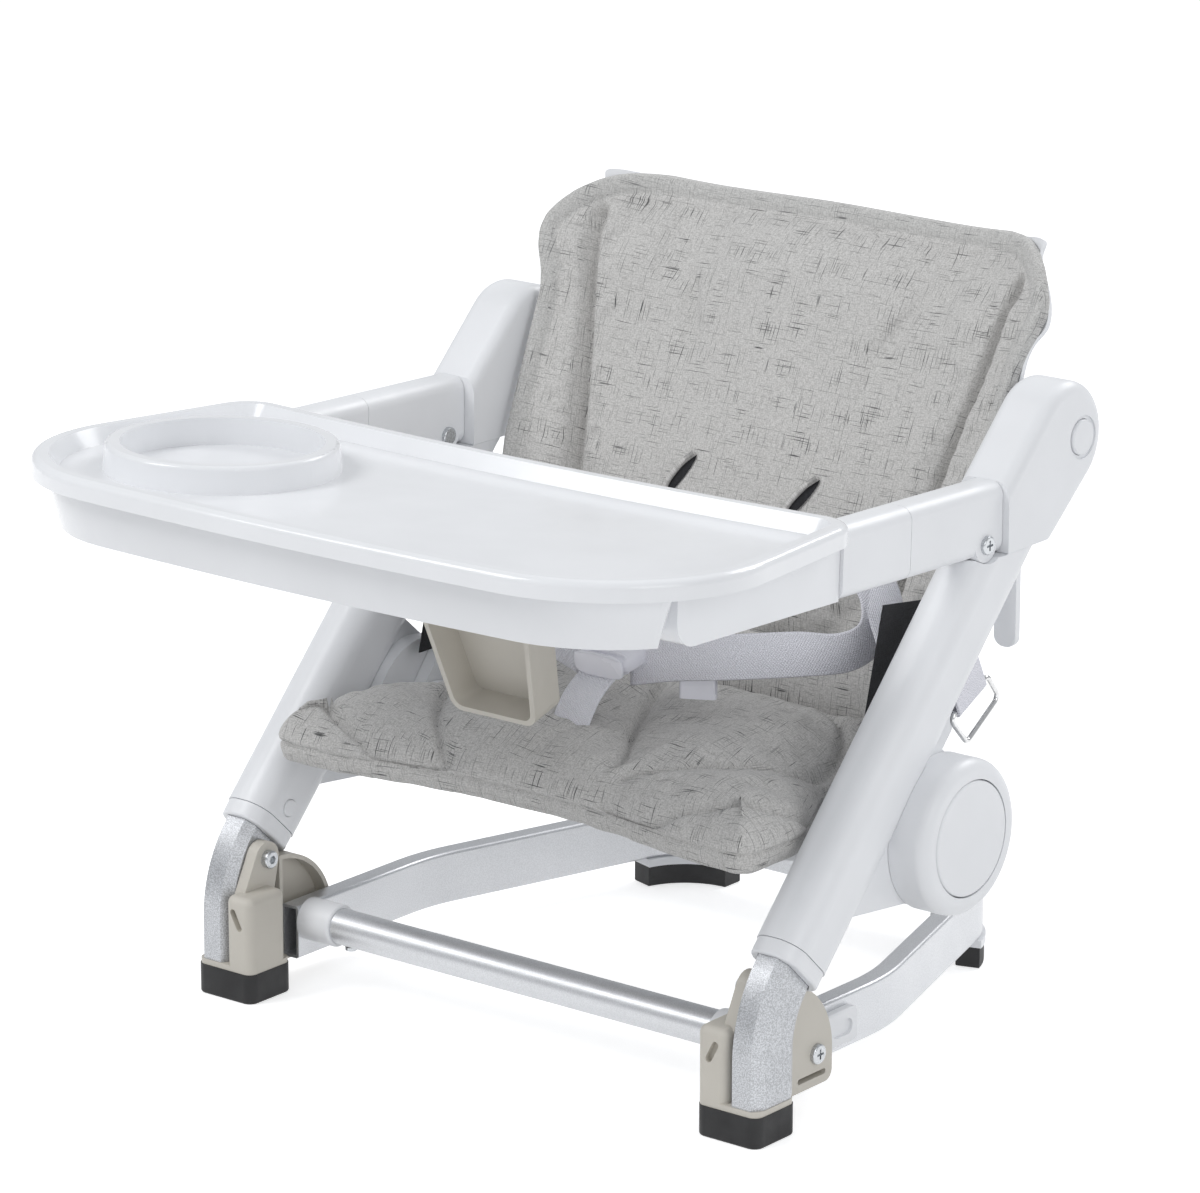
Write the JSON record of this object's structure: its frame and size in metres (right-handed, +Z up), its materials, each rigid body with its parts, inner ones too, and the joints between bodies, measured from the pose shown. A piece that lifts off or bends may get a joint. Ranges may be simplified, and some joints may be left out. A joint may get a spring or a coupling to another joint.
{
  "type": "baby high chair",
  "caption": "Low folding baby high chair with a sliding tray, cup ring, padded seat and back, waist harness, height-adjustable slanted legs and a fold-out floor frame.",
  "frame": {"origin": "on the floor, under the centre of the chair's overall width and depth", "axes": "the chair faces -Y, +X is the occupant's left, +Z is up"},
  "size_m": [0.4442, 0.4776, 0.4237],
  "materials": {
    "white_plastic": "fine satin moulding",
    "greige_plastic": "satin, warm grey",
    "pale_plastic": "satin",
    "leg_paint": "fine metallic silver paint",
    "rail_metal": "drawn",
    "screw_steel": "zinc plated",
    "ring_steel": "polished wire",
    "foot_rubber": "matt",
    "seat_fabric": "light grey melange weave",
    "webbing": "ribbed woven tape"
  },
  "bodies": {
    "legs": {"leg_tube_left": "leg_paint", "leg_tube_right": "leg_paint", "leg_top_plugs": "white_plastic", "foot_cap_left": "foot_rubber", "foot_cap_right": "foot_rubber", "foot_bracket_left": "greige_plastic", "foot_bracket_right": "greige_plastic", "bracket_screws": "screw_steel", "hinge_cheek_left": "greige_plastic", "hinge_cheek_right": "greige_plastic", "frame_pivot_screws": "screw_steel"},
    "floor_frame": {"frame_tube": "leg_paint", "crossbar": "leg_paint", "crossbar_collars": "white_plastic", "crossbar_screws": "screw_steel", "lock_blocks": "white_plastic", "rear_pads": "foot_rubber", "pad_carriers": "white_plastic"},
    "seat_unit": {"sleeve_left": "white_plastic", "sleeve_right": "white_plastic", "sleeve_collar_left": "pale_plastic", "sleeve_collar_right": "pale_plastic", "head_left": "white_plastic", "head_right": "white_plastic", "hub_carrier_left": "white_plastic", "hub_carrier_right": "white_plastic", "hub_housing_left": "white_plastic", "hub_housing_right": "white_plastic", "hub_disc_left": "white_plastic", "hub_disc_right": "white_plastic", "hub_pins": "rail_metal", "seat_pan": "white_plastic", "seat_cushion": "seat_fabric", "crotch_strap": "webbing", "waist_strap_left": "webbing", "waist_strap_right": "webbing", "buckle": "pale_plastic", "strap_adjuster": "pale_plastic", "anchor_strap_left": "webbing", "anchor_strap_right": "webbing", "arm_left": "white_plastic", "arm_right": "white_plastic", "arm_sleeve_left": "white_plastic", "arm_sleeve_right": "white_plastic", "arm_rail_left": "rail_metal", "arm_rail_right": "rail_metal", "arm_screws": "screw_steel"},
    "backrest": {"back_shell": "white_plastic", "back_cushion": "seat_fabric"},
    "tray": {"tray_base": "white_plastic"},
    "tray_top": {"tray_cover": "white_plastic"},
    "handle": {"release_handle": "greige_plastic"},
    "latch_left": {"latch_left": "white_plastic"},
    "latch_right": {"latch_right": "white_plastic"},
    "height_button_left": {"height_button_left": "white_plastic"},
    "height_button_right": {"height_button_right": "white_plastic"},
    "head_button_left": {"head_button_left": "pale_plastic"},
    "head_button_right": {"head_button_right": "pale_plastic"},
    "wire_ring_left": {"wire_ring_left": "ring_steel"},
    "wire_ring_right": {"wire_ring_right": "ring_steel"}
  },
  "joints": [
    {"name": "height_slide", "type": "slide", "parent": "legs", "child": "seat_unit", "axis": [0, 0.6884, 0.7254], "range_m": [0, 0.088]},
    {"name": "frame_fold", "type": "hinge", "parent": "legs", "child": "floor_frame", "pos_m": [0, -0.0269, 0.0305], "axis": [1, 0, 0], "range_deg": [0, 14]},
    {"name": "back_fold", "type": "hinge", "parent": "seat_unit", "child": "backrest", "pos_m": [0, 0.0601, 0.1315], "axis": [-1, 0, 0], "range_deg": [-22, 0]},
    {"name": "tray_slide", "type": "slide", "parent": "seat_unit", "child": "tray", "axis": [0, -0.9994, 0.0349], "range_m": [0, 0.08]},
    {"name": "cover_lift", "type": "slide", "parent": "tray", "child": "tray_top", "axis": [0, 0.0349, 0.9994], "range_m": [0, 0.04]},
    {"name": "handle_pull", "type": "hinge", "parent": "tray", "child": "handle", "pos_m": [0, -0.09061, 0.28958], "axis": [-1, 0, 0], "range_deg": [0, 10], "stiffness_Nm_per_rad": 1.2, "springref_deg": -5.73},
    {"name": "latch_left_draw", "type": "slide", "parent": "tray", "child": "latch_left", "axis": [-1, 0, 0], "range_m": [0, 0.004]},
    {"name": "height_button_left_press", "type": "slide", "parent": "seat_unit", "child": "height_button_left", "axis": [1, 0, 0], "range_m": [0, 0.002], "stiffness_N_per_m": 900, "springref_m": -0.001},
    {"name": "head_button_left_press", "type": "slide", "parent": "seat_unit", "child": "head_button_left", "axis": [-1, 0, 0], "range_m": [0, 0.003], "stiffness_N_per_m": 700, "springref_m": -0.001},
    {"name": "latch_right_draw", "type": "slide", "parent": "tray", "child": "latch_right", "axis": [1, 0, 0], "range_m": [0, 0.004]},
    {"name": "height_button_right_press", "type": "slide", "parent": "seat_unit", "child": "height_button_right", "axis": [-1, 0, 0], "range_m": [0, 0.002], "stiffness_N_per_m": 900, "springref_m": -0.001},
    {"name": "head_button_right_press", "type": "slide", "parent": "seat_unit", "child": "head_button_right", "axis": [1, 0, 0], "range_m": [0, 0.003], "stiffness_N_per_m": 700, "springref_m": -0.001},
    {"name": "ring_left_swing", "type": "hinge", "parent": "seat_unit", "child": "wire_ring_left", "pos_m": [0.187, 0.0926, 0.19555], "axis": [0, 0.9009, 0.4341], "range_deg": [-35, 10]},
    {"name": "ring_right_swing", "type": "hinge", "parent": "seat_unit", "child": "wire_ring_right", "pos_m": [-0.187, 0.0926, 0.19555], "axis": [0, 0.9009, 0.4341], "range_deg": [-10, 35]}
  ],
  "couplings": [
    {"joint": "latch_left_draw", "follows": "handle_pull", "m_per_rad": 0.0225},
    {"joint": "latch_right_draw", "follows": "handle_pull", "m_per_rad": 0.0225}
  ]
}
